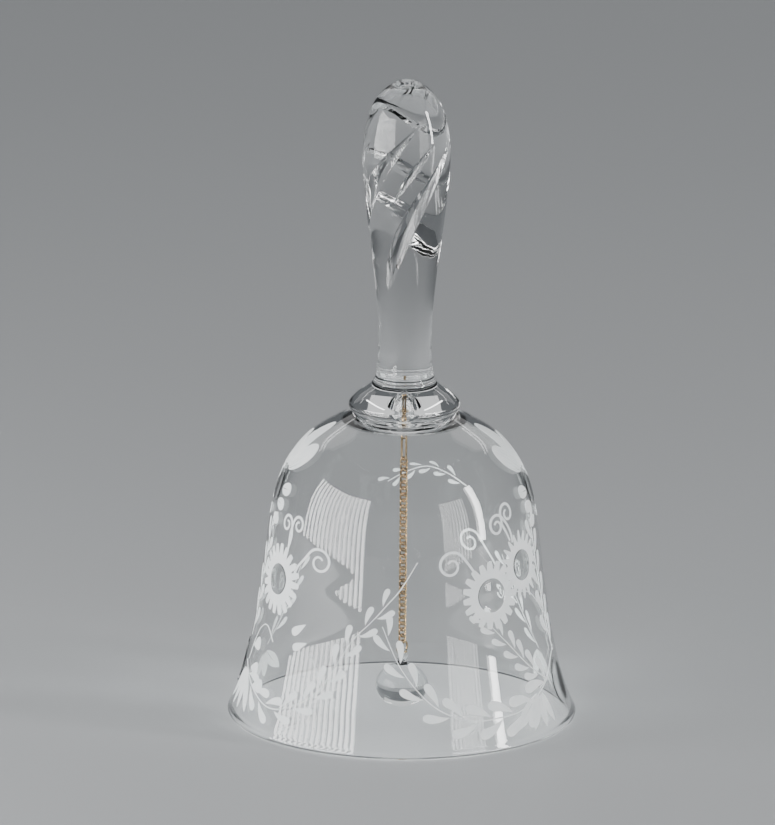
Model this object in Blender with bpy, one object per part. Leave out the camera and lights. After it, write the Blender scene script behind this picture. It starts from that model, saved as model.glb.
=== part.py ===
"""A hand bell in clear glass: a thin blown bowl, a pressed collar and a solid cut handle, joined hot.

A wire eye is cemented in the crown. From it hang a long top link, a twisted curb chain, a jump ring
and a clear glass clapper. The bell stands on its ground rim at z = 0, with its axis on +Z.
"""

import math

import bmesh
import bpy
from mathutils import Matrix, Vector

MM = 0.001

# Steps round a turned piece, and along one stretch between two points of a profile.
TURN_STEPS = 48
CLAPPER_STEPS = 20

# Bowl: half width and height of the flank's points from the rim up to the collar, in mm.
FLANK = [(47.4, 2.2), (44.1, 11.2), (40.7, 26.0), (38.3, 43.2), (35.9, 60.1), (32.3, 70.7),
         (26.2, 78.5), (18.9, 83.2), (14.0, 85.75)]
WALL = 2.0
RIM_RADIUS = 48.0
RIM_HEIGHT = 0.9
LAND_INNER = 46.2
LAND_OUTER = 47.3
CEILING_RING = (13.3, 83.0)
CEILING_DIP = (7.0, 81.6)
CEILING_HEIGHT = 81.0
BORE_RADIUS = 1.9
CROWN_TOP = 85.75

# The air pocket above the bore, shaped like a top: its width at the join, where it is widest, and its floor.
POCKET_RADIUS = 2.4
POCKET_WIDEST = (3.4, 83.9)
POCKET_FLOOR = 82.4
POCKET_TOP = 90.5

# Collar: the gap under it, its bead and the hollow cone of its upper face.
JOIN_GAP = 0.3
COLLAR_BOTTOM = CROWN_TOP + JOIN_GAP
COLLAR_BEAD = [(13.6, COLLAR_BOTTOM), (14.9, 86.6), (15.3, 87.6), (14.9, 88.7)]
COLLAR_CONE = [(12.7, 90.8), (10.8, 92.1), (9.5, 93.2), (8.5, 94.6), (7.8, 96.9)]

# Handle: half width and height from its foot to the crown of its head.
HANDLE_FOOT = 96.9 + JOIN_GAP
HANDLE = [(7.8, HANDLE_FOOT), (7.3, 103.5), (7.35, 109.0), (7.8, 117.0), (9.05, 128.0), (10.15, 136.5),
          (11.15, 145.0), (11.9, 153.0), (12.0, 158.6), (11.4, 165.0), (9.9, 170.6), (7.2, 175.0),
          (3.3, 178.1)]
HANDLE_TOP = 178.8

# Mitre cuts round the handle, as (angle at CUT_LEVEL, lower end, upper end, widest at, half width, depth).
# The set of four is cut twice, half a turn apart. Angles in degrees from the front, + to the right.
CUT_LEVEL = 146.0
CUTS = [(-64.0, 127.5, 168.0, 149.0, 13.5, 1.5), (-19.0, 147.5, 162.5, 155.5, 6.5, 0.8),
        (18.0, 121.8, 164.0, 137.5, 14.5, 1.6), (67.0, 146.0, 163.0, 154.0, 8.0, 1.0)]
CUT_SETS = 2
CUT_ROWS = 22
CUT_BAND = (118.0, 168.5)

# Suspension: wire of the links, the play left between two of them, and the sizes of each.
WIRE_RADIUS = 0.3
PLAY = 0.12
REACH = 2 * WIRE_RADIUS + PLAY
LINK_COUNT = 30
LINK_HALF_LENGTH = 1.235
LINK_HALF_WIDTH = 0.85
TOP_LINK_HALF_LENGTH = 2.9
RING_RADIUS = 1.9
WIRE_SIDES = 6
LINK_STEPS = 14
RING_STEPS = 18

# Eye: its loop, and half spread and height of a leg from its top down to the loop.
EYE_LOOP_RADIUS = 1.05
EYE_LEG = [(0.45, 88.3), (0.55, 86.0), (0.5, 84.0), (0.42, 82.5), (0.42, 81.0), (0.55, 79.9)]
EYE_LOOP_TURNS = (35.0, 10.0, -15.0, -40.0, -65.0, -90.0)
EYE_SIDES = 8

# Cement: a ring round the two legs in the crown's bore.
PLUG_RADIUS = 1.6
PLUG_BORE = 1.05
PLUG_HEIGHT = (81.2, 82.7)

# Clapper: a flattened glass ball with a drawn glass loop on top.
BALL_RADIUS = 7.2
BALL_HALF_HEIGHT = 6.2
BALL_LEVEL = 7.6
LOOP_LEVEL = 16.1
LOOP_RADIUS = 1.45
LOOP_TUBE = 0.65
LOOP_SIDES = 8
BALL_ROWS = 12
NECK = [(2.4, 13.2), (1.5, 14.0), (1.1, 15.0)]

# The wires cross at right angles, along these two diagonals. The chain's flat side faces the front.
AXIS_A = math.radians(45.0)
AXIS_B = math.radians(-45.0)


def clear_scene():
    for old in list(bpy.data.objects):
        bpy.data.objects.remove(old, do_unlink=True)


def material(name, colour, roughness, metallic=0.0, transmission=0.0):
    made = bpy.data.materials.new(name)
    made.use_nodes = True
    shader = made.node_tree.nodes["Principled BSDF"]
    shader.inputs["Base Color"].default_value = (*colour, 1.0)
    shader.inputs["Roughness"].default_value = roughness
    shader.inputs["Metallic"].default_value = metallic
    shader.inputs["Transmission Weight"].default_value = transmission
    return made


def add_object(name, mesh, finish, origin=(0.0, 0.0, 0.0), sharp=40.0):
    """Links a mesh as an object whose origin is a point in mm, with smooth faces and sharp creases."""
    mesh.transform(Matrix.Translation(-Vector(origin) * MM))
    mesh.materials.append(finish)
    mesh.shade_smooth()
    mesh.set_sharp_from_angle(angle=math.radians(sharp))
    made = bpy.data.objects.new(name, mesh)
    made.location = Vector(origin) * MM
    bpy.context.scene.collection.objects.link(made)
    return made


def mesh_from_rings(name, rings, closed_rows=False):
    """Joins rings of equal length, in mm, into one closed skin. A ring of one point is a pole."""
    shape = bmesh.new()
    rows = [[shape.verts.new(Vector(point) * MM) for point in ring] for ring in rings]
    pairs = list(zip(rows, rows[1:]))
    if closed_rows:
        pairs.append((rows[-1], rows[0]))
    for low, high in pairs:
        count = max(len(low), len(high))
        for i in range(count):
            j = (i + 1) % count
            corners = [low[i % len(low)], low[j % len(low)], high[j % len(high)], high[i % len(high)]]
            corners = list(dict.fromkeys(corners))
            shape.faces.new(corners)
    bmesh.ops.recalc_face_normals(shape, faces=shape.faces)
    mesh = bpy.data.meshes.new(name)
    shape.to_mesh(mesh)
    shape.free()
    return mesh


def turned(name, profile, steps=TURN_STEPS, closed_rows=False):
    """Turns (radius, height) points about the bell's axis."""
    rings = []
    for radius, height in profile:
        if radius == 0.0:
            rings.append([(0.0, 0.0, height)])
            continue
        angles = [2 * math.pi * i / steps for i in range(steps)]
        rings.append([(radius * math.cos(a), radius * math.sin(a), height) for a in angles])
    return mesh_from_rings(name, rings, closed_rows)


def smooth_curve(points, steps):
    """A Catmull-Rom curve through (radius, height) points, with so many steps between two of them."""
    padded = [points[0], *points, points[-1]]
    curve = []
    for k in range(1, len(padded) - 2):
        a, b, c, d = (Vector(point) for point in padded[k - 1:k + 3])
        for s in range(steps):
            t = s / steps
            curve.append(0.5 * (2 * b + (c - a) * t + (2 * a - 5 * b + 4 * c - d) * t ** 2
                                + (3 * b - a - 3 * c + d) * t ** 3))
    curve.append(Vector(points[-1]))
    return [(point.x, point.y) for point in curve]


def offset_inward(curve, distance):
    """The curve moved towards the axis side, along its own normal."""
    moved = []
    for k, point in enumerate(curve):
        before = Vector(curve[max(k - 1, 0)])
        after = Vector(curve[min(k + 1, len(curve) - 1)])
        along = (after - before).normalized()
        moved.append((point[0] - along.y * distance, point[1] + along.x * distance))
    return moved


def make_bowl(finish):
    flank = smooth_curve(FLANK, 2)
    inner = [point for point in offset_inward(flank, WALL) if point[0] > CEILING_RING[0] + 3.0]
    rim = [(LAND_INNER, 0.0), (LAND_OUTER, 0.0), (RIM_RADIUS, RIM_HEIGHT)]
    crown = [(POCKET_RADIUS, CROWN_TOP), POCKET_WIDEST, (BORE_RADIUS, POCKET_FLOOR), (BORE_RADIUS, CEILING_HEIGHT)]
    ceiling = [CEILING_DIP, CEILING_RING]
    profile = rim + flank + crown + ceiling + inner[::-1]
    return add_object("bell_bowl", turned("bell_bowl", profile, closed_rows=True), finish)


def make_collar(finish):
    bead = smooth_curve(COLLAR_BEAD, 2)
    cone = smooth_curve(COLLAR_CONE, 1)
    profile = [(0.0, POCKET_TOP), (POCKET_RADIUS, COLLAR_BOTTOM), *bead, *cone, (0.0, COLLAR_CONE[-1][1])]
    return add_object("collar", turned("collar", profile), finish)


def cut_lead(height):
    """How far round, in degrees, a cut has turned at a height. The lead tightens towards the head."""
    above = height - CUT_LEVEL
    return 2.7 * above + 0.0225 * above ** 2 + 0.00093 * max(above, 0.0) ** 3


def cut_swell(height, low, high, widest):
    """The share of its full width and depth that a cut has at a height, from 0 at its ends."""
    if not low < height < high:
        return 0.0
    warp = math.log(0.5) / math.log((widest - low) / (high - low))
    return math.sin(math.pi * ((height - low) / (high - low)) ** warp) ** 0.8


def handle_ring(radius, height):
    """One ring of the handle, whose points follow the cuts: the edges, middles and the glass between."""
    points = []
    for repeat in range(CUT_SETS):
        for k, (angle, low, high, widest, half_width, depth) in enumerate(CUTS):
            swell = cut_swell(height, low, high, widest)
            half = max(half_width * swell, 1.0)
            centre = angle + 360.0 / CUT_SETS * repeat
            following = CUTS[(k + 1) % len(CUTS)]
            next_centre = following[0] + 360.0 / CUT_SETS * (repeat + (k + 1) // len(CUTS))
            between = (centre + next_centre) / 2
            points += [(centre - half, 0.0), (centre, depth * swell), (centre + half, 0.0), (between, 0.0)]
    ring = []
    lead = cut_lead(min(max(height, CUT_BAND[0]), CUT_BAND[1]))
    for angle, sunk in points:
        turn = math.radians(angle + lead - 90.0)
        ring.append(((radius - sunk) * math.cos(turn), (radius - sunk) * math.sin(turn), height))
    return ring


def radius_at(curve, height):
    """The curve's radius at a height, between its two nearest points."""
    for (r0, z0), (r1, z1) in zip(curve, curve[1:]):
        if z0 <= height <= z1:
            return r0 + (r1 - r0) * (height - z0) / (z1 - z0)
    return curve[-1][0]


def make_handle(finish):
    curve = smooth_curve(HANDLE, 4)
    low, high = CUT_BAND
    heights = [low + (high - low) * k / CUT_ROWS for k in range(CUT_ROWS + 1)]
    coarse = smooth_curve(HANDLE, 1)
    heights = [z for _, z in coarse if z < low] + heights + [z for _, z in coarse if z > high]
    rings = [handle_ring(radius_at(curve, z), z) for z in heights]
    rings = [[(0.0, 0.0, HANDLE_FOOT)], *rings, [(0.0, 0.0, HANDLE_TOP)]]
    return add_object("handle", mesh_from_rings("handle", rings), finish, sharp=30.0)


def wire(name, path, radius, sides, closed=True):
    """A round wire along points in mm. An open wire ends in flat faces."""
    count = len(path)
    rings = []
    for k, point in enumerate(path):
        if closed:
            along = path[(k + 1) % count] - path[k - 1]
        else:
            along = path[min(k + 1, count - 1)] - path[max(k - 1, 0)]
        along.normalize()
        across = (point - path_middle(path)).cross(along)
        across = across.normalized() if across.length > 1e-6 else along.orthogonal().normalized()
        out = along.cross(across)
        angles = [2 * math.pi * i / sides for i in range(sides)]
        rings.append([point + radius * (math.cos(a) * out + math.sin(a) * across) for a in angles])
    if not closed:
        rings = [[path[0]], *rings, [path[-1]]]
    return mesh_from_rings(name, rings, closed)


def path_middle(path):
    total = Vector((0.0, 0.0, 0.0))
    for point in path:
        total += point
    return total / len(path)


def stadium(half_width, half_length, steps, top_turn, bottom_turn):
    """The middle line of a link standing on end, its flat side twisted from one end to the other."""
    straight = half_length - half_width
    path = []
    for k in range(steps):
        a = 2 * math.pi * (k + 0.5) / steps
        height = half_width * math.sin(a) + math.copysign(straight, math.sin(a))
        share = 0.5 + 0.5 * height / half_length
        turn = bottom_turn + (top_turn - bottom_turn) * share
        across = half_width * math.cos(a)
        path.append(Vector((across * math.cos(turn), across * math.sin(turn), height)))
    return path


def hang_heights():
    """The middle height of each chain link from the top down, worked up from the clapper's loop."""
    ring_bottom = LOOP_LEVEL + LOOP_RADIUS - LOOP_TUBE - WIRE_RADIUS - PLAY
    last_link = ring_bottom + 2 * RING_RADIUS - REACH + LINK_HALF_LENGTH
    pitch = 2 * LINK_HALF_LENGTH - REACH
    return [last_link + pitch * k for k in reversed(range(LINK_COUNT))]


def make_links(finish):
    heights = hang_heights()
    top_of_chain = heights[0] + LINK_HALF_LENGTH
    top_link = top_of_chain - REACH + TOP_LINK_HALF_LENGTH
    eye_wire = top_link + TOP_LINK_HALF_LENGTH - REACH
    path = stadium(LINK_HALF_WIDTH, TOP_LINK_HALF_LENGTH, LINK_STEPS, AXIS_B, AXIS_B)
    path = [point + Vector((0.0, 0.0, top_link)) for point in path]
    add_object("top_link", wire("top_link", path, WIRE_RADIUS, WIRE_SIDES), finish, (0.0, 0.0, eye_wire))
    for k, height in enumerate(heights):
        name = f"chain_link_{k + 1:02d}"
        path = stadium(LINK_HALF_WIDTH, LINK_HALF_LENGTH, LINK_STEPS, AXIS_A, AXIS_B)
        path = [point + Vector((0.0, 0.0, height)) for point in path]
        # An odd link turns about the wire above it, an even link about its own top wire.
        hinge = height + LINK_HALF_LENGTH - (REACH if k % 2 == 0 else 0.0)
        add_object(name, wire(name, path, WIRE_RADIUS, WIRE_SIDES), finish, (0.0, 0.0, hinge))
    last_wire = heights[-1] - LINK_HALF_LENGTH
    ring_middle = last_wire + REACH - RING_RADIUS
    path = stadium(RING_RADIUS, RING_RADIUS, RING_STEPS, AXIS_A, AXIS_A)
    path = [point + Vector((0.0, 0.0, ring_middle)) for point in path]
    ring = wire("jump_ring", path, WIRE_RADIUS, WIRE_SIDES)
    add_object("jump_ring", ring, finish, (0.0, 0.0, last_wire))
    return eye_wire


def make_eye(finish, eye_wire):
    """A bent wire with two legs up through the crown: they spring apart a little in the pocket above."""
    side = Vector((math.cos(AXIS_A), math.sin(AXIS_A), 0.0))
    half = list(EYE_LEG)
    loop_middle = eye_wire + EYE_LOOP_RADIUS
    for degrees in EYE_LOOP_TURNS:
        a = math.radians(degrees)
        half.append((EYE_LOOP_RADIUS * math.cos(a), loop_middle + EYE_LOOP_RADIUS * math.sin(a)))
    outline = half + [(-across, height) for across, height in half[-2::-1]]
    path = [side * across + Vector((0.0, 0.0, height)) for across, height in outline]
    rings = []
    normal = side.cross(Vector((0.0, 0.0, 1.0)))
    for k, point in enumerate(path):
        along = (path[min(k + 1, len(path) - 1)] - path[max(k - 1, 0)]).normalized()
        out = along.cross(normal)
        angles = [2 * math.pi * i / EYE_SIDES for i in range(EYE_SIDES)]
        rings.append([point + WIRE_RADIUS * (math.cos(a) * out + math.sin(a) * normal) for a in angles])
    rings = [[path[0]], *rings, [path[-1]]]
    return add_object("hanging_eye", mesh_from_rings("hanging_eye", rings), finish)


def make_plug(finish):
    low, high = PLUG_HEIGHT
    profile = [(PLUG_BORE, low), (PLUG_RADIUS, low), (PLUG_RADIUS, high), (PLUG_BORE, high)]
    return add_object("crown_plug", turned("crown_plug", profile, CLAPPER_STEPS, closed_rows=True), finish)


def make_clapper(finish):
    ball = []
    for k in range(BALL_ROWS - 1):
        a = math.pi * (k / BALL_ROWS - 0.5)
        ball.append((BALL_RADIUS * math.cos(a), BALL_LEVEL + BALL_HALF_HEIGHT * math.sin(a)))
    ball[0] = (0.0, BALL_LEVEL - BALL_HALF_HEIGHT)
    profile = [*ball, *NECK, (0.0, NECK[-1][1])]
    hinge = LOOP_LEVEL + LOOP_RADIUS - LOOP_TUBE - WIRE_RADIUS - PLAY
    path = stadium(LOOP_RADIUS, LOOP_RADIUS, LINK_STEPS, AXIS_B, AXIS_B)
    path = [point + Vector((0.0, 0.0, LOOP_LEVEL)) for point in path]
    loop = add_object("clapper_loop_cutter", wire("clapper_loop", path, LOOP_TUBE, LOOP_SIDES), finish)
    loop.hide_render = True
    loop.display_type = "WIRE"
    clapper = add_object("clapper", turned("clapper", profile, CLAPPER_STEPS), finish, (0.0, 0.0, hinge))
    union = clapper.modifiers.new("loop", "BOOLEAN")
    union.operation = "UNION"
    union.object = loop
    return clapper


def main():
    clear_scene()
    glass = material("clear glass", (0.93, 0.95, 0.95), 0.02, transmission=1.0)
    brass = material("polished brass", (0.82, 0.62, 0.32), 0.22, metallic=1.0)
    cement = material("white cement", (0.78, 0.76, 0.72), 0.7)
    make_bowl(glass)
    make_collar(glass)
    make_handle(glass)
    eye_wire = make_links(brass)
    make_eye(brass, eye_wire)
    make_plug(cement)
    make_clapper(glass)


main()
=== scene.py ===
"""The looks of the glass hand bell: a fused, cut and engraved body, a brass chain and a glass clapper."""

import math

import bmesh
import bpy
from mathutils import Matrix, Vector


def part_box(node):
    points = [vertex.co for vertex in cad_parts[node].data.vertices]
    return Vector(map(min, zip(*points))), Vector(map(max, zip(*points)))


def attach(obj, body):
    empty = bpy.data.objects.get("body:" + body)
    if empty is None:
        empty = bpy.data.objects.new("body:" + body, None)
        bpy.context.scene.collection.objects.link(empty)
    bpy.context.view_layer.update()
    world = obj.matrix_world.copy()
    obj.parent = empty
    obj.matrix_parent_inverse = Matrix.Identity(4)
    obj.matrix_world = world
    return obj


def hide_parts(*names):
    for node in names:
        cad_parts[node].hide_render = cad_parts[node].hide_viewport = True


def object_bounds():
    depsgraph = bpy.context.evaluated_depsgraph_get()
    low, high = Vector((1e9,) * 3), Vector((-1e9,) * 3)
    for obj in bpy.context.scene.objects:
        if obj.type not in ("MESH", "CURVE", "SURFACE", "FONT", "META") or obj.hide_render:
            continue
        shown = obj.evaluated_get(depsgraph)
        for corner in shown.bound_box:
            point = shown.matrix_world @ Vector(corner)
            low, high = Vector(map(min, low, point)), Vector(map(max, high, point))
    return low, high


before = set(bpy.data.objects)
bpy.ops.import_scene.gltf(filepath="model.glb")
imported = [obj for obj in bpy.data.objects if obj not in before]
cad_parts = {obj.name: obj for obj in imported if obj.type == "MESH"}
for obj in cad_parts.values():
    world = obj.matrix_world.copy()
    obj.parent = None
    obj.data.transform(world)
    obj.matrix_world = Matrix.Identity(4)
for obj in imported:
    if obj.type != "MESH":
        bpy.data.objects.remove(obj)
CAD_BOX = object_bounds()

MM = 0.001
BODY = "bell"

# ---------------------------------------------------------------- sizes, in mm, from the frame's boxes


def box_mm(node):
    low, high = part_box(node)
    return Vector(low) / MM, Vector(high) / MM


RIM_RADIUS = box_mm("bell_bowl")[1].x
CROWN_TOP = box_mm("bell_bowl")[1].z
COLLAR_RADIUS = box_mm("collar")[1].x
COLLAR_TOP = box_mm("collar")[1].z
HANDLE_TOP = box_mm("handle")[1].z
CLAPPER_LOW, CLAPPER_HIGH = box_mm("clapper")
LINK_NAMES = sorted(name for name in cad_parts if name.startswith("chain_link_"))

# The bowl's flank from the rim up to the collar, as (half width, height).
FLANK = [(47.4, 2.2), (44.1, 11.2), (40.7, 26.0), (38.3, 43.2), (35.9, 60.1), (32.3, 70.7),
         (26.2, 78.5), (18.9, 83.2), (14.0, CROWN_TOP)]
WALL = 1.9
CEILING_RING = (13.3, 83.0)
CEILING_DIP = [(10.5, 82.3), (7.0, 81.6), (4.0, 81.1)]
BORE = [(1.9, 81.0), (1.9, 82.4)]
POCKET = [(3.4, 83.9), (1.7, 87.2), (0.0, 90.5)]

COLLAR = [(13.7, 86.05), (14.7, 86.3), (15.2, 87.0), (COLLAR_RADIUS, 87.6), (15.05, 88.4), (14.2, 89.4),
          (12.7, 90.8), (10.8, 92.1), (9.5, 93.2), (8.75, 94.2), (8.65, 94.6), (8.2, 95.0), (8.2, 95.5),
          (7.85, 95.9), (7.9, 96.4)]
HANDLE = [(7.75, 97.4), (7.3, 103.5), (7.35, 109.0), (7.8, 117.0), (9.05, 128.0), (10.15, 136.5),
          (11.15, 145.0), (11.9, 153.0), (12.0, 158.6), (11.4, 165.0), (9.9, 170.6), (7.2, 175.0),
          (3.3, HANDLE_TOP - 0.7)]

# Spiral mitre cuts: angle at CUT_LEVEL, lower end, upper end, widest at, half width in degrees, depth.
CUT_LEVEL = 146.0
CUTS = [(-64.0, 127.5, 168.0, 149.0, 13.5, 1.5), (-19.0, 147.5, 162.5, 155.5, 6.5, 0.8),
        (18.0, 121.8, 164.0, 137.5, 14.5, 1.6), (67.0, 146.0, 163.0, 154.0, 8.0, 1.0)]
CUT_SETS = 2
# Across a cut from edge to edge, and the share of its depth there: a broad facet and two narrow ones.
CUT_FACETS = [(-1.0, 0.0), (-0.95, 0.05), (-0.62, 0.58), (-0.56, 0.63), (-0.3, 0.8), (-0.05, 0.98),
              (0.0, 1.0), (0.05, 0.96), (0.34, 0.60), (0.4, 0.54), (0.68, 0.33), (0.94, 0.05)]
CUT_BETWEEN = (0.0, 0.03, 0.1, 0.2, 0.35, 0.5, 0.65, 0.8, 0.9, 0.97)
CUT_BAND = (118.0, 168.5)
COLUMNS = CUT_SETS * len(CUTS) * (len(CUT_FACETS) + len(CUT_BETWEEN))

WIRE_RADIUS = 0.3
LINK_TURNS = (math.radians(45.0), math.radians(-45.0))


# ---------------------------------------------------------------- mesh helpers


def finish_object(name, mesh, finish, body=BODY, replaces=(), sharp=30.0):
    mesh.shade_smooth()
    mesh.set_sharp_from_angle(angle=math.radians(sharp))
    mesh.materials.append(finish)
    made = bpy.data.objects.new(name, mesh)
    bpy.context.scene.collection.objects.link(made)
    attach(made, body)
    if replaces:
        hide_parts(*replaces)
    return made


def mesh_of(name, shape):
    bmesh.ops.recalc_face_normals(shape, faces=shape.faces)
    mesh = bpy.data.meshes.new(name)
    shape.to_mesh(mesh)
    shape.free()
    return mesh


def skin(shape, rings, closed=False):
    """Joins rings of points, in mm, into one closed skin. A ring of one point is a pole."""
    rows = [[shape.verts.new(Vector(point) * MM) for point in ring] for ring in rings]
    pairs = list(zip(rows, rows[1:]))
    if closed:
        pairs.append((rows[-1], rows[0]))
    for low, high in pairs:
        count = max(len(low), len(high))
        for i in range(count):
            j = (i + 1) % count
            corners = [low[i % len(low)], low[j % len(low)], high[j % len(high)], high[i % len(high)]]
            shape.faces.new(list(dict.fromkeys(corners)))


def turned_ring(radius, height, sides):
    """A ring of points round the bell's axis, or its pole where the radius is nothing."""
    if radius == 0.0:
        return [(0.0, 0.0, height)]
    angles = [2 * math.pi * i / sides for i in range(sides)]
    return [(radius * math.cos(a), radius * math.sin(a), height) for a in angles]


def smooth_curve(points, steps):
    """A Catmull-Rom curve through (radius, height) points, with so many steps between two of them."""
    padded = [points[0], *points, points[-1]]
    curve = []
    for k in range(1, len(padded) - 2):
        a, b, c, d = (Vector(point) for point in padded[k - 1:k + 3])
        for s in range(steps):
            t = s / steps
            curve.append(0.5 * (2 * b + (c - a) * t + (2 * a - 5 * b + 4 * c - d) * t ** 2
                                + (3 * b - a - 3 * c + d) * t ** 3))
    curve.append(Vector(points[-1]))
    return [tuple(point) for point in curve]


def offset_inward(curve, distance):
    moved = []
    for k, point in enumerate(curve):
        along = (Vector(curve[min(k + 1, len(curve) - 1)]) - Vector(curve[max(k - 1, 0)])).normalized()
        moved.append((point[0] - along.y * distance, point[1] + along.x * distance))
    return moved


# ---------------------------------------------------------------- materials


def new_material(name):
    made = bpy.data.materials.new(name)
    made.use_nodes = True
    return made, made.node_tree, made.node_tree.nodes["Principled BSDF"]


def noise_node(tree, scale, detail=3.0, stretch=None):
    """Noise in the object's own coordinates, with features of 1 / scale metres."""
    place = tree.nodes.new("ShaderNodeTexCoord")
    noise = tree.nodes.new("ShaderNodeTexNoise")
    noise.inputs["Scale"].default_value = scale
    noise.inputs["Detail"].default_value = detail
    source = place.outputs["Object"]
    if stretch:
        mapping = tree.nodes.new("ShaderNodeMapping")
        mapping.inputs["Scale"].default_value = stretch
        tree.links.new(source, mapping.inputs["Vector"])
        source = mapping.outputs["Vector"]
    tree.links.new(source, noise.inputs["Vector"])
    return noise


def remap(tree, source, low, high, from_low=0.3, from_high=0.7):
    ramp = tree.nodes.new("ShaderNodeMapRange")
    ramp.inputs["From Min"].default_value = from_low
    ramp.inputs["From Max"].default_value = from_high
    ramp.inputs["To Min"].default_value = low
    ramp.inputs["To Max"].default_value = high
    tree.links.new(source, ramp.inputs["Value"])
    return ramp.outputs["Result"]


def bump(tree, shader, height, strength, distance):
    node = tree.nodes.new("ShaderNodeBump")
    node.inputs["Strength"].default_value = strength
    node.inputs["Distance"].default_value = distance
    tree.links.new(height, node.inputs["Height"])
    tree.links.new(node.outputs["Normal"], shader.inputs["Normal"])


def let_lamps_through(tree, shader, shade):
    """Lets light from the lamps pass through glass, so that what stands behind it is lit."""
    path = tree.nodes.new("ShaderNodeLightPath")
    clear = tree.nodes.new("ShaderNodeBsdfTransparent")
    clear.inputs["Color"].default_value = (*shade, 1.0)
    mix = tree.nodes.new("ShaderNodeMixShader")
    tree.links.new(path.outputs["Is Shadow Ray"], mix.inputs["Fac"])
    tree.links.new(shader.outputs["BSDF"], mix.inputs[1])
    tree.links.new(clear.outputs["BSDF"], mix.inputs[2])
    tree.links.new(mix.outputs["Shader"], tree.nodes["Material Output"].inputs["Surface"])


def glass_material(name, colour, ripple):
    """Clear glass with the slow ripple of hand work and the faintest change of polish."""
    made, tree, shader = new_material(name)
    shader.inputs["Base Color"].default_value = (*colour, 1.0)
    shader.inputs["Transmission Weight"].default_value = 1.0
    shader.inputs["IOR"].default_value = 1.52
    polish = noise_node(tree, 90.0)
    tree.links.new(remap(tree, polish.outputs["Fac"], 0.0, 0.012), shader.inputs["Roughness"])
    wave = noise_node(tree, 45.0, 1.0, (1.0, 1.0, 0.45))
    bump(tree, shader, wave.outputs["Fac"], 0.25, ripple)
    let_lamps_through(tree, shader, (0.88, 0.89, 0.89))
    return made


def frosted_material():
    """Wheel-cut glass: a fine even grain, a little brighter where the wheel dwelt."""
    made, tree, shader = new_material("frosted_engraving")
    grain = noise_node(tree, 4200.0, 2.0)
    cloud = noise_node(tree, 260.0, 2.0)
    mix = tree.nodes.new("ShaderNodeMix")
    mix.data_type = "RGBA"
    mix.inputs["A"].default_value = (0.84, 0.89, 0.90, 1.0)
    mix.inputs["B"].default_value = (0.98, 0.99, 0.99, 1.0)
    blend = tree.nodes.new("ShaderNodeMath")
    blend.operation = "MULTIPLY_ADD"
    blend.inputs[1].default_value = 0.5
    tree.links.new(grain.outputs["Fac"], blend.inputs[0])
    tree.links.new(remap(tree, cloud.outputs["Fac"], 0.0, 0.5), blend.inputs[2])
    tree.links.new(blend.outputs["Value"], mix.inputs["Factor"])
    tree.links.new(mix.outputs["Result"], shader.inputs["Base Color"])
    shader.inputs["Roughness"].default_value = 0.6
    shader.inputs["Transmission Weight"].default_value = 0.12
    shader.inputs["IOR"].default_value = 1.3
    bump(tree, shader, grain.outputs["Fac"], 0.5, 0.00005)
    return made


def brass_material():
    made, tree, shader = new_material("brass")
    stain = noise_node(tree, 900.0, 3.0)
    mix = tree.nodes.new("ShaderNodeMix")
    mix.data_type = "RGBA"
    mix.inputs["A"].default_value = (0.20, 0.13, 0.065, 1.0)
    mix.inputs["B"].default_value = (0.84, 0.63, 0.37, 1.0)
    tree.links.new(remap(tree, stain.outputs["Fac"], 0.0, 1.0), mix.inputs["Factor"])
    tree.links.new(mix.outputs["Result"], shader.inputs["Base Color"])
    shader.inputs["Metallic"].default_value = 1.0
    tree.links.new(remap(tree, stain.outputs["Fac"], 0.24, 0.08), shader.inputs["Roughness"])
    scratch = noise_node(tree, 6000.0, 2.0)
    bump(tree, shader, scratch.outputs["Fac"], 0.15, 0.00002)
    return made


def cement_material():
    made, tree, shader = new_material("cement")
    grit = noise_node(tree, 5000.0, 4.0)
    mix = tree.nodes.new("ShaderNodeMix")
    mix.data_type = "RGBA"
    mix.inputs["A"].default_value = (0.34, 0.33, 0.31, 1.0)
    mix.inputs["B"].default_value = (0.52, 0.50, 0.47, 1.0)
    tree.links.new(grit.outputs["Fac"], mix.inputs["Factor"])
    tree.links.new(mix.outputs["Result"], shader.inputs["Base Color"])
    shader.inputs["Roughness"].default_value = 0.8
    bump(tree, shader, grit.outputs["Fac"], 0.6, 0.0001)
    return made


BELL_GLASS = glass_material("bell_glass", (0.985, 0.992, 0.99), 0.00004)
CLAPPER_GLASS = glass_material("clapper_glass", (0.97, 0.985, 0.99), 0.00005)
FROSTED = frosted_material()
BRASS = brass_material()
CEMENT = cement_material()


# ---------------------------------------------------------------- the fused glass body


def cut_lead(height):
    """How far round, in degrees, a cut has turned at a height. The lead tightens towards the head."""
    above = min(max(height, CUT_BAND[0]), CUT_BAND[1]) - CUT_LEVEL
    return 2.7 * above + 0.0225 * above ** 2 + 0.00093 * max(above, 0.0) ** 3


def cut_swell(height, low, high, widest):
    """The share of its full width and depth that a cut has at a height, from 0 at its ends."""
    if not low < height < high:
        return 0.0
    warp = math.log(0.5) / math.log((widest - low) / (high - low))
    return math.sin(math.pi * ((height - low) / (high - low)) ** warp) ** 0.8


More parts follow.
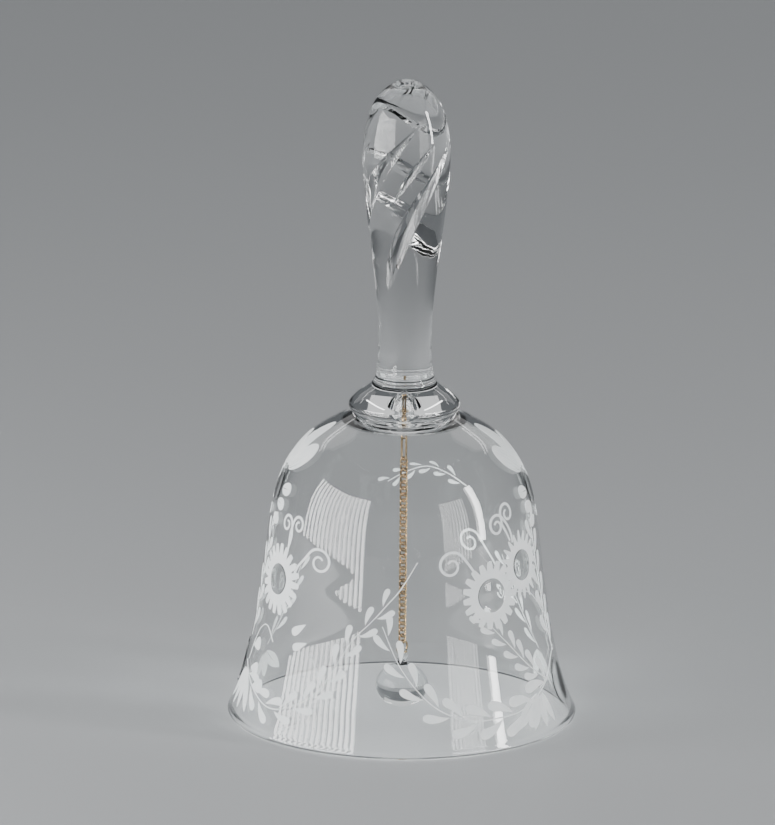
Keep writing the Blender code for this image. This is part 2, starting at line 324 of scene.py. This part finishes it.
def cut_columns(height):
    """(angle, depth) of the handle's columns at a height. They follow the cuts' edges and middles."""
    spans = []
    for repeat in range(CUT_SETS):
        for angle, low, high, widest, half_width, depth in CUTS:
            swell = cut_swell(height, low, high, widest)
            spans.append((angle + 360.0 / CUT_SETS * repeat, max(half_width * swell, 1.0), depth * swell))
    columns = []
    for k, (centre, half, depth) in enumerate(spans):
        next_centre, next_half, _ = spans[(k + 1) % len(spans)]
        next_centre += 360.0 if k + 1 == len(spans) else 0.0
        for across, share in CUT_FACETS:
            columns.append((centre + half * across, depth * share))
        start, end = centre + half, next_centre - next_half
        for share in CUT_BETWEEN:
            columns.append((start + (end - start) * share, 0.0))
    lead = cut_lead(height)
    return [(angle + lead, depth) for angle, depth in columns]


EVEN_START = cut_columns(CUT_BAND[0])[0][0] - 12.0


def glass_ring(radius, height):
    """One ring of the body: evenly divided below the neck, and following the cuts up the handle."""
    if radius == 0.0:
        return [(0.0, 0.0, height)]
    neck = HANDLE[0][1]
    share = min(max((height - neck) / (CUT_BAND[0] - neck), 0.0), 1.0)
    share = share * share * (3.0 - 2.0 * share)
    ring = []
    for k, (angle, depth) in enumerate(cut_columns(height)):
        even = EVEN_START + 360.0 * k / COLUMNS
        turn = math.radians(even + (angle - even) * share - 90.0)
        reach = radius - depth * share
        ring.append((reach * math.cos(turn), reach * math.sin(turn), height))
    return ring


def even_heights(curve, spacing, low, high):
    """Points of a curve at even heights, where the cuts need their rings."""
    count = max(int((high - low) / spacing), 1)
    points = []
    for k in range(count + 1):
        height = low + (high - low) * k / count
        for (r0, z0), (r1, z1) in zip(curve, curve[1:]):
            if z0 <= height <= z1:
                points.append((r0 + (r1 - r0) * (height - z0) / max(z1 - z0, 1e-9), height))
                break
    return points


def make_glass_body():
    flank = smooth_curve(FLANK, 10)
    inner = [point for point in offset_inward(flank, WALL) if point[0] > CEILING_RING[0] + 3.0]
    rim = [(45.75, 0.95), (45.85, 0.35), (46.2, 0.03), (46.5, 0.0), (47.1, 0.0), (47.6, 0.15), (47.9, 0.5),
           (RIM_RADIUS, 0.95), (47.85, 1.5)]
    ceiling = smooth_curve([inner[-1], (15.6, 82.6), CEILING_RING, *CEILING_DIP, BORE[0]], 5)[1:]
    collar = smooth_curve(COLLAR, 4)
    handle = smooth_curve(HANDLE, 10)
    low, high = CUT_BAND
    handle = ([point for point in handle if point[1] < low - 0.2] + even_heights(handle, 0.8, low, high)
              + [point for point in handle if point[1] > high + 0.2])
    cap = [(1.7, HANDLE_TOP - 0.18), (0.6, HANDLE_TOP - 0.02), (0.0, HANDLE_TOP)]
    profile = [*POCKET[::-1], BORE[1], *ceiling[::-1], *inner[::-1], *rim, *flank, *collar, *handle, *cap]
    shape = bmesh.new()
    skin(shape, [glass_ring(radius, height) for radius, height in profile])
    finish_object("glass_body", mesh_of("glass_body", shape), BELL_GLASS,
                  replaces=("bell_bowl", "collar", "handle"), sharp=70.0)


make_glass_body()


# ---------------------------------------------------------------- engraving on the bowl

MERIDIAN = smooth_curve(FLANK, 24)
LENGTHS = [0.0]
for before, after in zip(MERIDIAN, MERIDIAN[1:]):
    LENGTHS.append(LENGTHS[-1] + (Vector(after) - Vector(before)).length)


def along_meridian(length):
    """Half width, height and outward normal of the flank at a length up from its foot."""
    length = min(max(length, 0.0), LENGTHS[-1])
    k = 0
    while k < len(LENGTHS) - 2 and LENGTHS[k + 1] < length:
        k += 1
    share = (length - LENGTHS[k]) / (LENGTHS[k + 1] - LENGTHS[k])
    low, high = Vector(MERIDIAN[k]), Vector(MERIDIAN[k + 1])
    point = low.lerp(high, share)
    along = (high - low).normalized()
    return point.x, point.y, along.y, -along.x


def length_at(height):
    for k, (_, z) in enumerate(MERIDIAN):
        if z >= height:
            return LENGTHS[k]
    return LENGTHS[-1]


def on_bowl(place, across, up, lift):
    """The point of the bowl's outside at a distance to the right and up from a place (angle, height)."""
    angle, height = place
    start = length_at(height)
    radius, z, out, rise = along_meridian(start + up)
    middle_radius = along_meridian(start + up * 0.5)[0]
    turn = math.radians(angle) + across / middle_radius
    reach = radius + out * lift
    return (reach * math.sin(turn), -reach * math.cos(turn), z + rise * lift)


LIFT = 0.02
SHELL = 0.09
HOLLOW = 0.05
VEIN = 0.16
SCROLL_LINE = 0.75


def engrave_grid(shape, place, rows, closed=False):
    """A thin shell over rows of local points, dished a little towards the middle of each row.

    When it is closed, its last row meets its first one."""
    top, bottom = [], []
    for row in rows:
        count = len(row) - 1
        top.append([])
        bottom.append([])
        for i, (across, up) in enumerate(row):
            edge = abs(2.0 * i / count - 1.0)
            lift = LIFT + SHELL - HOLLOW * (1.0 - edge * edge)
            top[-1].append(shape.verts.new(Vector(on_bowl(place, across, up, lift)) * MM))
            bottom[-1].append(shape.verts.new(Vector(on_bowl(place, across, up, LIFT)) * MM))
    last_row, last = len(rows) - 1, len(rows[0]) - 1
    for r in range(len(rows) if closed else last_row):
        s = (r + 1) % len(rows)
        for i in range(last):
            shape.faces.new([top[r][i], top[r][i + 1], top[s][i + 1], top[s][i]])
            shape.faces.new([bottom[r][i], bottom[s][i], bottom[s][i + 1], bottom[r][i + 1]])
        for i in (0, last):
            shape.faces.new([top[r][i], top[s][i], bottom[s][i], bottom[r][i]])
    for r in () if closed else (0, last_row):
        for i in range(last):
            shape.faces.new([top[r][i], top[r][i + 1], bottom[r][i + 1], bottom[r][i]])


def stroke(shape, place, spine, widths, across_steps=4):
    """A band along local points, with a half width at each."""
    rows = []
    for k, point in enumerate(spine):
        after = Vector(spine[min(k + 1, len(spine) - 1)])
        along = (after - Vector(spine[max(k - 1, 0)])).normalized()
        side = Vector((-along.y, along.x))
        row = []
        for i in range(across_steps + 1):
            offset = side * widths[k] * (2.0 * i / across_steps - 1.0)
            row.append((point[0] + offset.x, point[1] + offset.y))
        rows.append(row)
    engrave_grid(shape, place, rows)


def petal(shape, place, start, direction, length, width, kind="drop", bend=0.0, flutes=1):
    """A leaf or petal from a local point, pointing along a direction in degrees (90 is up).

    Its flutes are wheel strokes side by side, parted by fine clear lines that close towards its end."""
    spine, widths, shares = [], [], []
    steps = 14
    for k in range(steps + 1):
        t = 0.5 - 0.5 * math.cos(math.pi * k / steps)
        turn = math.radians(direction + bend * t)
        spine.append(Vector((start[0] + length * t * math.cos(turn), start[1] + length * t * math.sin(turn))))
        if kind == "drop":
            wide = 1.1 * t ** 0.85 * math.sqrt(max(1.0 - t ** 5, 0.0))
        elif kind == "leaf":
            wide = math.sin(math.pi * t) ** 0.8
        else:
            wide = math.sqrt(max(1.0 - (2.0 * t - 1.0) ** 2, 0.0)) * (0.72 + 0.28 * t)
        widths.append(max(width / 2 * wide, 0.04))
        shares.append(t)
    for flute in range(flutes):
        low, high = 2.0 * flute / flutes - 1.0, 2.0 * (flute + 1) / flutes - 1.0
        rows = []
        for k, point in enumerate(spine):
            along = (spine[min(k + 1, steps)] - spine[max(k - 1, 0)]).normalized()
            side = Vector((-along.y, along.x))
            gap = min(VEIN * max(1.0 - shares[k] / 0.75, 0.1), widths[k] * 0.3 / flutes) / widths[k]
            left = low + (gap if flute > 0 else 0.0)
            right = high - (gap if flute < flutes - 1 else 0.0)
            row = [point + side * widths[k] * (left + (right - left) * i / 4) for i in range(5)]
            rows.append([tuple(corner) for corner in row])
        engrave_grid(shape, place, rows)


def scroll(shape, place, tail, reach, start, turns, hand, line, squeeze=1.0):
    """A tendril that comes along local points to a spiral round its place, and winds in on itself."""
    count = int(30 * turns)
    spine = []
    for k in range(count + 1):
        t = k / count
        turn = math.radians(start + hand * 360.0 * turns * t)
        r = reach * (1.0 - 0.74 * t ** 0.9)
        spine.append((squeeze * r * math.cos(turn), r * math.sin(turn)))
    if tail:
        spine = smooth_curve([*tail, spine[0]], 8)[:-1] + spine
    last = len(spine) - 1
    widths = [line / 2 * (0.55 + 0.45 * math.sin(math.pi * (0.1 + 0.8 * k / last))) for k in range(last + 1)]
    stroke(shape, place, spine, widths, 2)


def daisy(shape, place, inner, body, outer, petals, pointed, squeeze=1.0):
    """A ring of frosted glass with petals all round, open in the middle."""
    columns = petals * 12
    rows = []
    for k in range(columns):
        turn = 2 * math.pi * k / columns
        wave = 0.5 + 0.5 * math.cos(petals * turn)
        lobe = wave ** 1.4 if pointed else min(1.0, 1.6 * wave ** 0.8)
        reach = body + (outer - body) * lobe * (1.0 + 0.07 * math.sin(5.0 * turn + petals))
        row = []
        for i in range(5):
            r = inner + (reach - inner) * i / 4
            row.append((squeeze * r * math.sin(turn), r * math.cos(turn)))
        rows.append(row)
    engrave_grid(shape, place, rows, closed=True)


def local_points(origin, points):
    """The local points, in mm from an origin, of points given as (angle, height)."""
    local = []
    for angle, height in points:
        r = along_meridian(length_at((height + origin[1]) / 2))[0]
        local.append((math.radians(angle - origin[0]) * r, length_at(height) - length_at(origin[1])))
    return local


def stem(shape, path, thick, thin):
    """A fine line through (angle, height) points, thinner towards its end."""
    origin = path[len(path) // 2]
    spine = smooth_curve(local_points(origin, path), 10)
    count = len(spine)
    stroke(shape, origin, spine, [thick + (thin - thick) * k / count for k in range(count)], 2)


def garland(leaves, stems, path, spacing, size, end_size):
    """A fine stem through (angle, height) points, with drop leaves on both sides that point up the stem."""
    stem(stems, path, 0.2, 0.1)
    origin = path[len(path) // 2]
    spine = smooth_curve(local_points(origin, path), 10)
    walked, due, lean = 0.0, spacing * 0.8, 1
    for k in range(1, len(spine) - 1):
        here, there = Vector(spine[k]), Vector(spine[k + 1])
        walked += (there - here).length
        if walked < due:
            continue
        due += spacing
        lean = -lean
        heading = math.degrees(math.atan2(there.y - here.y, there.x - here.x))
        scale = size + (end_size - size) * k / len(spine)
        away = Vector((-(there - here).y, (there - here).x)).normalized() * lean * 0.55
        petal(leaves, origin, tuple(here + away), heading + 40.0 * lean, scale, scale * 0.44,
              "drop", -16.0 * lean)


def shoulder_flower(petals, place, side):
    """A large flower whose fluted petals spread up over the shoulder, with small lobes stacked below them.

    side is the way that its wide petal leans: -1 to the left, 1 to the right."""
    spread = [(94.0, 1.6, 18.0, 8.6, 5), (137.0, 2.4, 13.0, 8.4, 5), (52.0, 2.4, 13.0, 7.8, 4),
              (8.0, 3.4, 9.0, 5.6, 3)]
    for direction, distance, length, width, flutes in spread:
        toward = 90.0 + side * (direction - 90.0)
        turn = math.radians(toward)
        start = (distance * math.cos(turn), 4.6 + distance * math.sin(turn))
        petal(petals, place, start, toward, length, width, "oval", 0.0, flutes)
    for way in (-1, 1):
        for k in range(3):
            start = (way * (4.9 - 0.9 * k), 0.6 - 3.9 * k)
            petal(petals, place, start, 90.0 - way * (84.0 + 12.0 * k), 5.6 - 0.6 * k, 4.3 - 0.4 * k,
                  "oval", 0.0, 2)


def fan(petals, place, spread):
    """Long pointed petals that fan out from a place, as (direction, distance, length, width)."""
    for direction, distance, length, width in spread:
        turn = math.radians(direction)
        start = (distance * math.cos(turn), distance * math.sin(turn))
        petal(petals, place, start, direction, length, width, "leaf", 0.0, 2)


def lens(shape, place, half_across, half_up):
    """A polished oval: a clear dished lens laid in the frosted work."""
    steps, rows = 48, 8
    sheets = []
    for raised in (True, False):
        sheet = []
        for k in range(rows + 1):
            share = k / rows
            ring = []
            for i in range(1 if k == 0 else steps):
                turn = 2 * math.pi * i / steps
                swell = 0.05 + 0.35 * share * share * (1.0 - 0.35 * share ** 6) if raised else 0.0
                ring.append(on_bowl(place, half_across * share * math.sin(turn),
                                    half_up * share * math.cos(turn), LIFT + swell))
            sheet.append(ring)
        sheets.append(sheet)
    skin(shape, sheets[0] + sheets[1][::-1])


# Where the motifs sit, as (angle from the front, height). The back repeats a part of the front's sprays.
ROUND_DAISY = (39.0, 41.5)
POINTED_DAISY = (59.0, 47.5)
SIDE_DAISY = (-62.5, 42.2)
RIGHT_FLOWER = (84.0, 65.0)
LEFT_FLOWER = (-82.0, 65.5)
RIGHT_RIM_OVAL = (78.0, 11.6)
LEFT_RIM_OVAL = (-96.0, 13.0)

# Each garland: its points from root to tip, the spacing of its leaves, and their first and last length.
GARLANDS = [
    ([(67.0, 14.0), (56.0, 20.0), (45.0, 27.5), (33.0, 36.0)], 2.7, 6.6, 4.6),
    ([(68.0, 14.5), (50.0, 9.6), (33.0, 8.5), (22.0, 9.6), (10.5, 14.2), (-0.5, 23.8), (-8.0, 34.5)],
     4.1, 9.8, 5.6),
    ([(-82.5, 16.2), (-68.0, 10.8), (-53.5, 8.2), (-41.0, 11.0), (-31.5, 16.8), (-20.5, 30.0), (-13.0, 35.6),
      (-6.5, 40.6)], 3.6, 7.6, 5.0),
    ([(80.0, 20.0), (76.0, 33.0), (73.0, 46.0), (72.0, 58.0)], 3.4, 7.4, 6.2),
    ([(-85.0, 22.0), (-83.0, 33.0), (-80.0, 46.0), (-77.0, 57.0)], 3.8, 6.8, 5.4),
    ([(112.0, 14.0), (120.0, 21.0), (127.0, 29.0), (132.0, 38.0)], 2.9, 6.4, 4.6),
    ([(-114.0, 14.0), (-121.0, 20.0), (-127.0, 27.0), (-131.0, 34.0)], 2.9, 6.0, 4.4),
    ([(150.0, 56.0), (159.0, 59.5), (168.5, 61.0), (178.0, 59.5), (187.0, 56.0)], 2.5, 3.8, 3.4),
]

# Stems without leaves: the tip of the long garland, a tendril over the left leaves, the link between two
# daisies, and two crossing stalks.
STEMS = [
    [(-11.0, 37.2), (-6.5, 40.6), (-1.0, 45.3), (6.0, 52.5)],
    [(-60.0, 25.0), (-66.0, 28.2), (-72.0, 27.0), (-77.0, 22.0), (-80.0, 16.5)],
    [(53.0, 41.0), (62.0, 39.5), (69.0, 35.5), (75.0, 31.0)],
    [(60.0, 13.0), (67.0, 15.0), (74.0, 18.5), (81.0, 21.0)],
    [(-38.0, 25.0), (-34.0, 21.0), (-30.0, 15.5)],
]

# Each scroll: the spiral's middle, local points of its tail, reach, start in degrees, turns, hand, squeeze.
SCROLLS = [
    ((20.5, 50.6), [(8.8, -6.4), (7.4, -3.4), (5.6, -0.6)], 4.1, 38.0, 1.3, 1, 1.0),
    ((45.0, 59.8), [(5.6, -5.6), (5.2, -2.8), (4.0, -0.2)], 3.2, 44.0, 1.3, 1, 0.95),
    ((52.5, 62.6), [(-0.2, -7.6), (-1.4, -5.0), (-2.6, -2.6)], 3.3, 205.0, 1.3, -1, 0.85),
    ((-37.5, 50.4), [(-9.0, -5.2), (-7.6, -2.4), (-5.6, -0.2)], 3.9, 142.0, 1.3, -1, 1.1),
    ((-52.0, 58.4), [(-3.4, -8.2), (-3.4, -5.4), (-3.2, -2.6)], 2.7, 180.0, 1.3, -1, 0.9),
    ((-60.5, 58.0), [(1.4, -8.2), (2.4, -5.4), (3.0, -2.6)], 2.8, 0.0, 1.3, 1, 0.9),
    ((150.0, 39.5), [(-9.4, -6.0), (-7.4, -3.2), (-5.4, -0.8)], 3.9, 142.0, 1.3, -1, 1.0),
]

# Round leaves beside the tendril, as (place, direction, length, width), and the petals that fan down to the
# rim, as (direction, distance, length, width).
ROUND_LEAVES = [((-77.0, 21.0), 20.0, 5.4, 5.0), ((-74.5, 15.6), 5.0, 5.2, 5.2),
                ((-69.0, 11.6), 10.0, 6.0, 5.2), ((-40.0, 28.0), 205.0, 5.6, 3.0),
                ((-41.5, 33.0), 215.0, 6.0, 3.2)]
RIGHT_FAN = [(286.0, 2.0, 9.0, 2.6), (262.0, 2.0, 9.2, 2.9), (238.0, 2.2, 10.8, 3.2),
             (216.0, 2.8, 14.0, 3.4)]
LEFT_FAN = [(240.0, 2.4, 12.0, 3.0), (262.0, 2.0, 11.0, 2.8), (284.0, 2.0, 11.2, 2.9),
            (306.0, 2.4, 13.0, 3.2)]


def make_engraving():
    petals, leaves, stems, tendrils, flowers, ovals = (bmesh.new() for _ in range(6))
    daisies = [(ROUND_DAISY, 4.7, 7.0, 9.4, 19, False, 1.0), (POINTED_DAISY, 4.3, 6.6, 9.6, 20, True, 0.95),
               (SIDE_DAISY, 4.3, 6.8, 9.8, 20, False, 1.0)]
    for place, inner, body, outer, count, pointed, squeeze in daisies:
        daisy(flowers, place, inner, body, outer, count, pointed, squeeze)
        lens(ovals, place, (inner - 0.15) * squeeze, inner - 0.15)
    for place, half_across, half_up in ((RIGHT_FLOWER, 3.6, 4.2), (LEFT_FLOWER, 3.4, 4.2),
                                        (RIGHT_RIM_OVAL, 5.2, 6.6), (LEFT_RIM_OVAL, 5.0, 6.4)):
        lens(ovals, place, half_across, half_up)
    shoulder_flower(petals, RIGHT_FLOWER, 1)
    shoulder_flower(petals, LEFT_FLOWER, -1)
    fan(petals, (60.0, 13.4), RIGHT_FAN)
    fan(petals, (-80.0, 16.0), LEFT_FAN)
    fan(petals, (112.0, 15.6), LEFT_FAN)
    fan(petals, (-112.0, 13.4), RIGHT_FAN)
    for place, direction, length, width in ROUND_LEAVES:
        petal(leaves, place, (0.0, 0.0), direction, length, width)
    for path, spacing, size, end_size in GARLANDS:
        garland(leaves, stems, path, spacing, size, end_size)
    for path in STEMS:
        stem(stems, path, 0.17, 0.12)
    for place, tail, reach, start, turns, hand, squeeze in SCROLLS:
        scroll(tendrils, place, tail, reach, start, turns, hand, SCROLL_LINE, squeeze)
    layers = [("engraved_petals", petals, FROSTED), ("engraved_leaves", leaves, FROSTED),
              ("engraved_stems", stems, FROSTED), ("engraved_tendrils", tendrils, FROSTED),
              ("engraved_daisies", flowers, FROSTED), ("polished_ovals", ovals, BELL_GLASS)]
    for name, shape, finish in layers:
        finish_object(name, mesh_of(name, shape), finish, sharp=40.0)


make_engraving()


# ---------------------------------------------------------------- eye, cement, chain and ring


def wire_rings(path, radius, sides, closed, twist=0.0):
    """The rings of a round wire along points in mm, which turn by a twist from the first to the last."""
    count = len(path)
    rings = []
    across = None
    for k, point in enumerate(path):
        after = path[(k + 1) % count] if closed else path[min(k + 1, count - 1)]
        before = path[k - 1] if closed else path[max(k - 1, 0)]
        along = (after - before).normalized()
        across = along.orthogonal() if across is None else across - along * across.dot(along)
        across.normalize()
        out = along.cross(across)
        angles = [2 * math.pi * i / sides + twist * k / count for i in range(sides)]
        rings.append([point + radius * (math.cos(a) * out + math.sin(a) * across) for a in angles])
    return rings


def open_wire(shape, path, radius, sides):
    skin(shape, [[path[0]], *wire_rings(path, radius, sides, False), [path[-1]]])


def closed_wire(shape, path, radius, sides):
    """A wire whose last ring is turned to meet the first one, so that its skin closes without a pinch."""
    rings = wire_rings(path, radius, sides, True)
    best = min(range(sides), key=lambda s: (rings[-1][s] - rings[0][0]).length)
    twist = 2 * math.pi * best / sides
    if twist > math.pi:
        twist -= 2 * math.pi
    skin(shape, wire_rings(path, radius, sides, True, twist), closed=True)


def stadium(half_width, half_length, steps, top_turn, bottom_turn, middle):
    straight = half_length - half_width
    path = []
    for k in range(steps):
        a = 2 * math.pi * (k + 0.5) / steps
        height = half_width * math.sin(a) + math.copysign(straight, math.sin(a))
        share = 0.5 + 0.5 * height / half_length
        turn = bottom_turn + (top_turn - bottom_turn) * share
        across = half_width * math.cos(a)
        path.append(Vector((across * math.cos(turn), across * math.sin(turn), middle + height)))
    return path


def make_link(node, half_width, top_turn, bottom_turn, steps=40, sides=12):
    low, high = box_mm(node)
    half_length = (high.z - low.z) / 2 - WIRE_RADIUS
    shape = bmesh.new()
    path = stadium(half_width, half_length, steps, top_turn, bottom_turn, (high.z + low.z) / 2)
    closed_wire(shape, path, WIRE_RADIUS, sides)
    name = node + "_wire"
    finish_object(name, mesh_of(name, shape), BRASS, body=node, replaces=(node,))


def make_chain():
    make_link("top_link", 0.85, LINK_TURNS[1], LINK_TURNS[1])
    for name in LINK_NAMES:
        make_link(name, 0.85, LINK_TURNS[0], LINK_TURNS[1])
    make_link("jump_ring", 1.9, LINK_TURNS[0], LINK_TURNS[0], 56)


def make_eye():
    low, high = box_mm("hanging_eye")
    eye_wire = low.z + WIRE_RADIUS
    side = Vector((math.cos(LINK_TURNS[0]), math.sin(LINK_TURNS[0]), 0.0))
    loop = 1.05
    legs = [(0.45, high.z - 0.05), (0.55, 86.0), (0.5, 84.0), (0.42, 82.5), (0.42, 81.0), (0.55, 79.9)]
    half = legs + [(loop * math.cos(math.radians(d)), eye_wire + loop + loop * math.sin(math.radians(d)))
                   for d in (35.0, 10.0, -15.0, -40.0, -65.0, -90.0)]
    outline = half + [(-across, height) for across, height in half[-2::-1]]
    path = [side * across + Vector((0.0, 0.0, height)) for across, height in smooth_curve(outline, 4)]
    shape = bmesh.new()
    open_wire(shape, path, WIRE_RADIUS, 12)
    finish_object("eye_wire", mesh_of("eye_wire", shape), BRASS, replaces=("hanging_eye",))


def make_cement():
    low, high = box_mm("crown_plug")
    outer, inner = high.x, 1.05
    profile = [(inner, low.z + 0.1), (inner + 0.1, low.z), (outer - 0.1, low.z), (outer, low.z + 0.15),
               (outer, high.z - 0.3), (outer - 0.15, high.z - 0.05), (inner + 0.12, high.z - 0.12),
               (inner, high.z - 0.3)]
    shape = bmesh.new()
    skin(shape, [turned_ring(radius, height, 40) for radius, height in profile], closed=True)
    finish_object("cement", mesh_of("cement", shape), CEMENT, replaces=("crown_plug",))


make_chain()
make_eye()
make_cement()


# ---------------------------------------------------------------- clapper


def make_clapper():
    half_width = CLAPPER_HIGH.x
    half_height = 6.2
    level = CLAPPER_LOW.z + half_height
    tube, loop_radius = 0.65, 1.45
    loop_level = CLAPPER_HIGH.z - tube - loop_radius
    profile = []
    for k in range(34):
        a = math.pi * (k / 36 - 0.5)
        profile.append((half_width * math.cos(a), level + half_height * math.sin(a)))
    profile[0] = (0.0, CLAPPER_LOW.z)
    top = profile[-1]
    profile += smooth_curve([top, (1.9, 13.75), (1.25, 14.3), (0.95, 15.0)], 4)[1:] + [(0.0, 15.0)]
    shape = bmesh.new()
    skin(shape, [turned_ring(radius, height, 72) for radius, height in profile])
    body = mesh_of("clapper_glass", shape)
    shape = bmesh.new()
    path = stadium(loop_radius, loop_radius, 48, LINK_TURNS[1], LINK_TURNS[1], loop_level)
    closed_wire(shape, path, tube, 20)
    loop = bpy.data.objects.new("loop_tool", mesh_of("loop_tool", shape))
    bpy.context.scene.collection.objects.link(loop)
    made = finish_object("clapper_glass", body, CLAPPER_GLASS, body="clapper",
                         replaces=("clapper",))
    join = made.modifiers.new("join", "BOOLEAN")
    join.operation = "UNION"
    join.object = loop
    graph = bpy.context.evaluated_depsgraph_get()
    joined = bpy.data.meshes.new_from_object(made.evaluated_get(graph))
    made.modifiers.clear()
    made.data = joined
    bpy.data.objects.remove(loop, do_unlink=True)
    joined.shade_smooth()
    joined.set_sharp_from_angle(angle=math.radians(60.0))


make_clapper()


# ---------------------------------------------------------------- floor, light and camera


def make_floor():
    mesh = bpy.data.meshes.new("floor")
    size = 6.0
    mesh.from_pydata([(-size, -size, 0.0), (size, -size, 0.0), (size, size, 0.0), (-size, size, 0.0)], [],
                     [(0, 1, 2, 3)])
    made, tree, shader = new_material("floor")
    mottle = noise_node(tree, 3.0, 2.0)
    mix = tree.nodes.new("ShaderNodeMix")
    mix.data_type = "RGBA"
    mix.inputs["A"].default_value = (0.40, 0.41, 0.42, 1.0)
    mix.inputs["B"].default_value = (0.42, 0.43, 0.44, 1.0)
    tree.links.new(mottle.outputs["Fac"], mix.inputs["Factor"])
    tree.links.new(mix.outputs["Result"], shader.inputs["Base Color"])
    shader.inputs["Roughness"].default_value = 0.5
    shader.inputs["Specular IOR Level"].default_value = 0.04
    mesh.materials.append(made)
    floor = bpy.data.objects.new("floor", mesh)
    floor.location.z = -0.0002
    bpy.context.scene.collection.objects.link(floor)


SLATS = 15
RIGHT_SLATS = 9
WINDOW_LEVEL = 0.28
WINDOW_HEIGHT = 0.54


def area_light(name, place, aim, size, power):
    data = bpy.data.lights.new(name, "AREA")
    data.shape = "RECTANGLE"
    data.size, data.size_y = size
    data.energy = power
    made = bpy.data.objects.new(name, data)
    made.location = place
    made.rotation_euler = (Vector(aim) - Vector(place)).to_track_quat("-Z", "Y").to_euler()
    made.visible_camera = False
    bpy.context.scene.collection.objects.link(made)


def slatted_window(name, slats, distance, turns, width, power):
    """Upright strips of light round the bell, from one angle to another: 0 is the front, 90 the right."""
    start, end = turns
    for k in range(slats):
        turn = math.radians(start + (end - start) * k / (slats - 1))
        place = (distance * math.sin(turn), -distance * math.cos(turn), WINDOW_LEVEL)
        area_light(f"{name}_{k + 1:02d}", place, (0.0, 0.0, WINDOW_LEVEL), (width, WINDOW_HEIGHT), power)


def make_light():
    world = bpy.data.worlds.new("studio")
    world.use_nodes = True
    world.node_tree.nodes["Background"].inputs["Color"].default_value = (0.80, 0.85, 0.90, 1.0)
    world.node_tree.nodes["Background"].inputs["Strength"].default_value = 0.16
    bpy.context.scene.world = world
    middle = (0.0, 0.0, 0.08)
    # A tall window on the left and a fainter one on the right, whose light comes between slats.
    slatted_window("window_left", SLATS, 0.85, (-34.0, -92.0), 0.027, 0.95)
    slatted_window("window_right", RIGHT_SLATS, 0.95, (36.0, 58.0), 0.022, 0.26)
    area_light("strip_right", (1.35, -0.45, 0.5), middle, (0.16, 0.95), 18.5)
    # A wide dim panel behind, which the collar bends forward, and two thin bars on it for bright arcs.
    area_light("panel_back", (0.0, 1.55, 1.25), middle, (3.0, 1.2), 9.0)
    area_light("bar_left", (-0.78, 1.05, 0.86), middle, (0.62, 0.05), 0.35)
    area_light("bar_right", (0.78, 1.05, 0.86), middle, (0.62, 0.05), 0.35)


def make_camera():
    """Three metres away and 15 degrees up, with a long lens, turned a little to follow the bell's lean."""
    data = bpy.data.cameras.new("camera")
    data.lens = 478.0
    data.sensor_width = 36.0
    data.clip_start, data.clip_end = 0.1, 50.0
    rise = math.radians(15.0)
    target = Vector((-0.0046, 0.0, (CAD_BOX[1].z - CAD_BOX[0].z) * 0.4758))
    back = Vector((0.0, -math.cos(rise), math.sin(rise)))
    made = bpy.data.objects.new("camera", data)
    made.location = target + back * 3.0
    lean = Matrix.Rotation(math.radians(0.5), 4, "Z")
    made.rotation_euler = ((-back).to_track_quat("-Z", "Y").to_matrix().to_4x4() @ lean).to_euler()
    bpy.context.scene.collection.objects.link(made)
    bpy.context.scene.camera = made


make_floor()
make_light()
make_camera()
